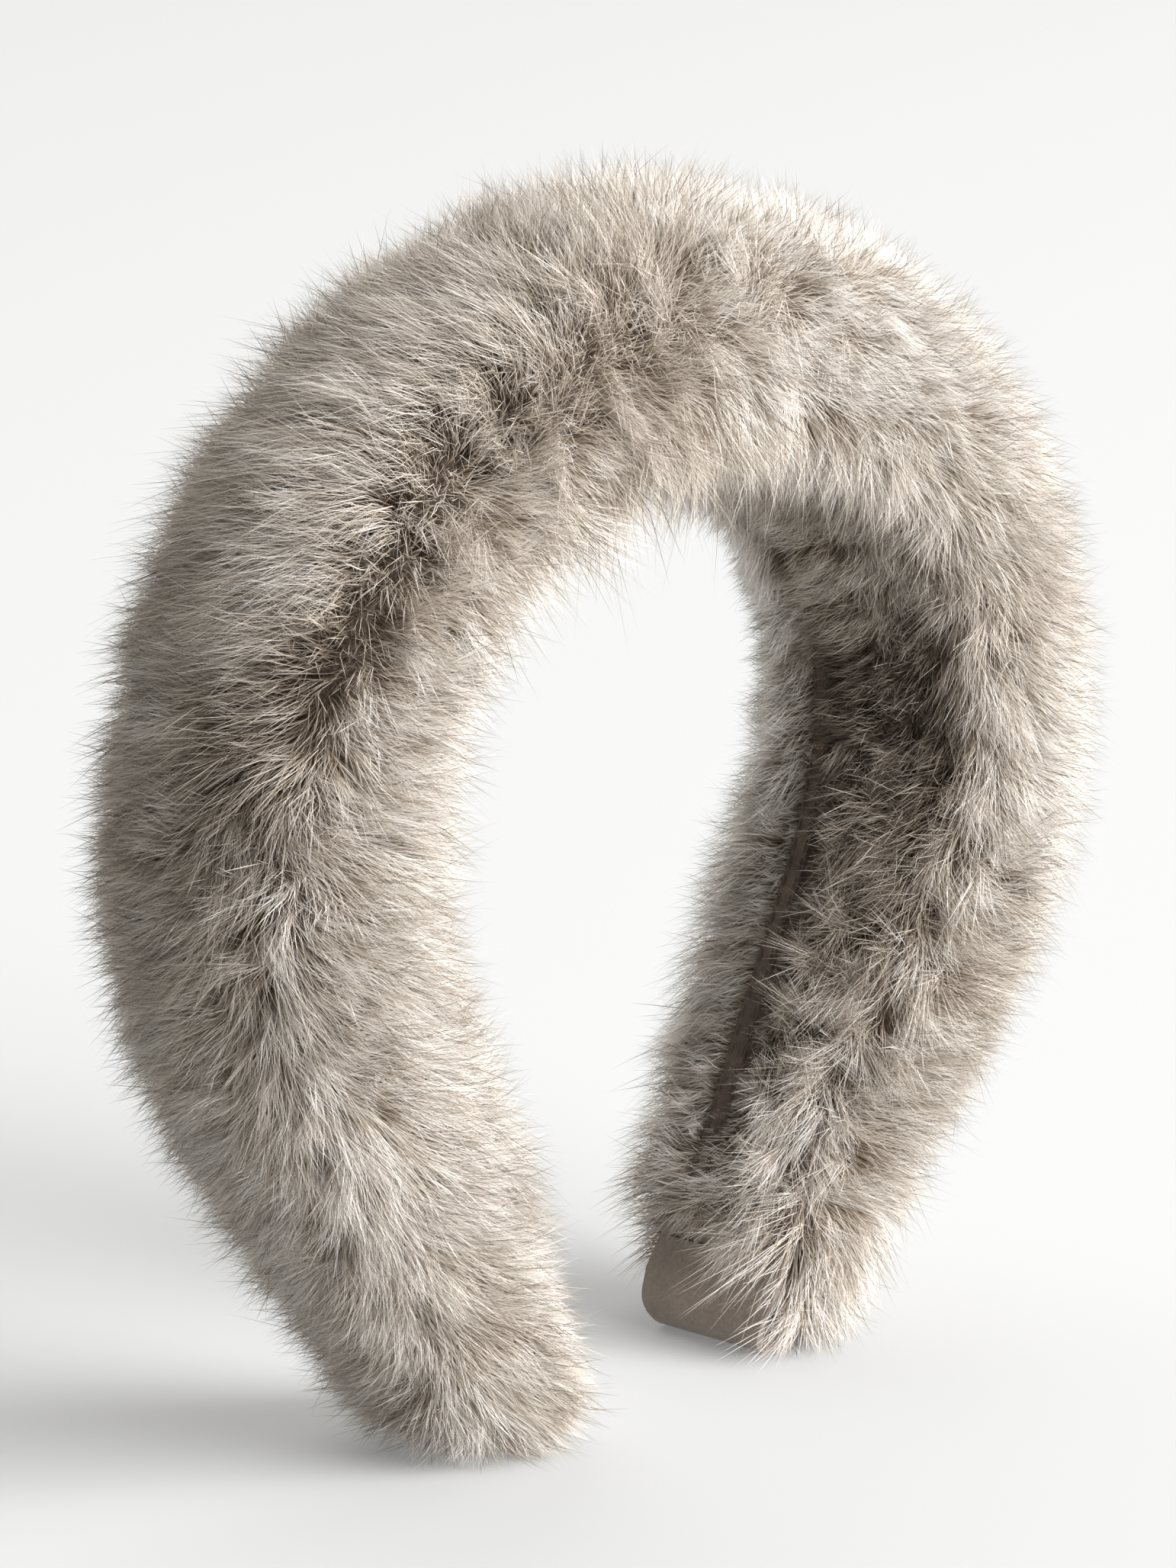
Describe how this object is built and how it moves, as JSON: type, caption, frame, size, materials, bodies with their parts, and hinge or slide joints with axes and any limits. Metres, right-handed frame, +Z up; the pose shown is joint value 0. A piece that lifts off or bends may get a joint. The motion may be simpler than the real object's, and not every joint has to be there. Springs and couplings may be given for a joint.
{
  "type": "plush headband",
  "caption": "Thick padded headband covered in long-pile plush, an arch that tapers to flat ends with plain suede-like tabs and stands on them",
  "frame": {"origin": "on the surface that the headband stands on, midway between its two ends, below the centre of its bounding box", "axes": "+Z up through the crown; X from end to end, so that the band is the same on both sides of X = 0; Y from the front edge (-Y) to the back edge (+Y), which is the band's width and its shortest extent"},
  "size_m": [0.2058, 0.0604, 0.1947],
  "materials": {
    "plush_pile": "long soft pile, pale taupe at the tips and brown-grey at the roots",
    "seam_tape": "matt woven tape",
    "suede_tab": "short napped suede-like cloth"
  },
  "bodies": {
    "root": {"plush_cover": "plush_pile", "inner_seam_tape": "seam_tape", "end_tab_left": "suede_tab", "end_tab_right": "suede_tab"}
  },
  "joints": []
}
